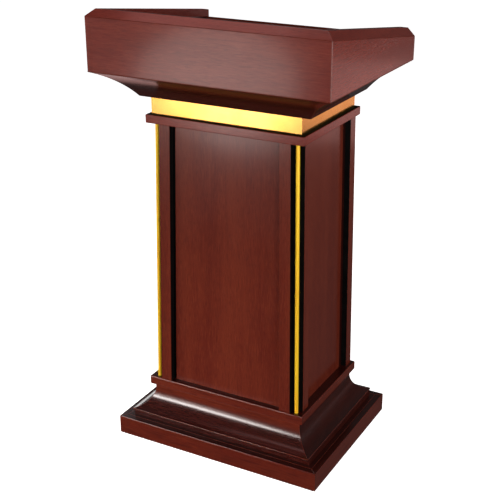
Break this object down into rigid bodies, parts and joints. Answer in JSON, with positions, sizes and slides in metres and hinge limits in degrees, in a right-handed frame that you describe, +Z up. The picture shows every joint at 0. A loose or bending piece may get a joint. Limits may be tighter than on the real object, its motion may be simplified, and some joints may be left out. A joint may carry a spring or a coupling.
{
  "type": "presentation lectern",
  "caption": "Wooden lectern: stepped base with a cove moulding, tapered column with brass corner rods, brass neck band, bevelled sloping desk and a rear cupboard with a locking door.",
  "frame": {"origin": "centre of the footprint on the floor", "axes": "+Z up, -Y the audience side, +Y the speaker's side, +X to the right of somebody looking along +Y"},
  "size_m": [0.65, 0.512, 1.1799],
  "materials": {
    "mahogany_lacquer": "dark red mahogany veneer under gloss lacquer",
    "carcass_wood": "unfinished plywood and pine",
    "polished_brass": "polished gold-coloured brass",
    "hinge_brass": "satin brass",
    "zinc_steel": "zinc-plated steel",
    "lock_chrome": "bright nickel plate",
    "black_nylon": "black moulded nylon"
  },
  "bodies": {
    "carcass": {"plinth_front_board": "mahogany_lacquer", "plinth_rear_board": "mahogany_lacquer", "plinth_left_board": "mahogany_lacquer", "plinth_right_board": "mahogany_lacquer", "plinth_panel": "mahogany_lacquer", "step_board": "mahogany_lacquer", "base_cove_front": "mahogany_lacquer", "base_cove_rear": "mahogany_lacquer", "base_cove_left": "mahogany_lacquer", "base_cove_right": "mahogany_lacquer", "base_slab": "mahogany_lacquer", "corner_post_front_left": "mahogany_lacquer", "corner_post_front_right": "mahogany_lacquer", "corner_post_rear_left": "mahogany_lacquer", "corner_post_rear_right": "mahogany_lacquer", "front_panel": "mahogany_lacquer", "left_panel": "mahogany_lacquer", "right_panel": "mahogany_lacquer", "fixed_shelf": "mahogany_lacquer", "loose_shelf": "mahogany_lacquer", "column_cap": "mahogany_lacquer", "soffit_front": "mahogany_lacquer", "soffit_rear": "mahogany_lacquer", "soffit_left": "mahogany_lacquer", "soffit_right": "mahogany_lacquer", "desk_front_board": "mahogany_lacquer", "desk_left_board": "mahogany_lacquer", "desk_right_board": "mahogany_lacquer", "desk_back_board": "mahogany_lacquer", "desk_linings": "mahogany_lacquer", "rim_front": "mahogany_lacquer", "rim_left": "mahogany_lacquer", "rim_right": "mahogany_lacquer", "writing_board": "mahogany_lacquer", "paper_ledge": "mahogany_lacquer", "glue_blocks": "carcass_wood", "neck_boards": "carcass_wood", "desk_bottom_board": "carcass_wood", "desk_bearers": "carcass_wood", "corner_rods": "polished_brass", "brass_band": "polished_brass", "hinge_frame_leaves": "hinge_brass", "hinge_pins": "hinge_brass", "post_screws": "zinc_steel", "frame_screws": "zinc_steel", "lock_strike": "zinc_steel", "shelf_pins": "zinc_steel", "floor_glides": "black_nylon", "magnet_catch": "black_nylon"},
    "door": {"rear_door": "mahogany_lacquer", "hinge_door_leaves": "hinge_brass", "door_screws": "zinc_steel", "door_knob": "polished_brass", "knob_screw": "zinc_steel", "lock_housing": "lock_chrome", "lock_nut": "zinc_steel", "catch_plate": "zinc_steel"},
    "lock": {"lock_plug": "lock_chrome", "lock_cam": "zinc_steel", "lock_cam_screw": "zinc_steel"}
  },
  "joints": [
    {"name": "door_hinge", "type": "hinge", "parent": "carcass", "child": "door", "pos_m": [0.1555, 0.1696, 0.433], "axis": [0, 0, -1], "range_deg": [0, 170]},
    {"name": "lock_turn", "type": "hinge", "parent": "door", "child": "lock", "pos_m": [-0.125, 0.152, 0.5], "axis": [0, 1, 0], "range_deg": [0, 90]}
  ]
}
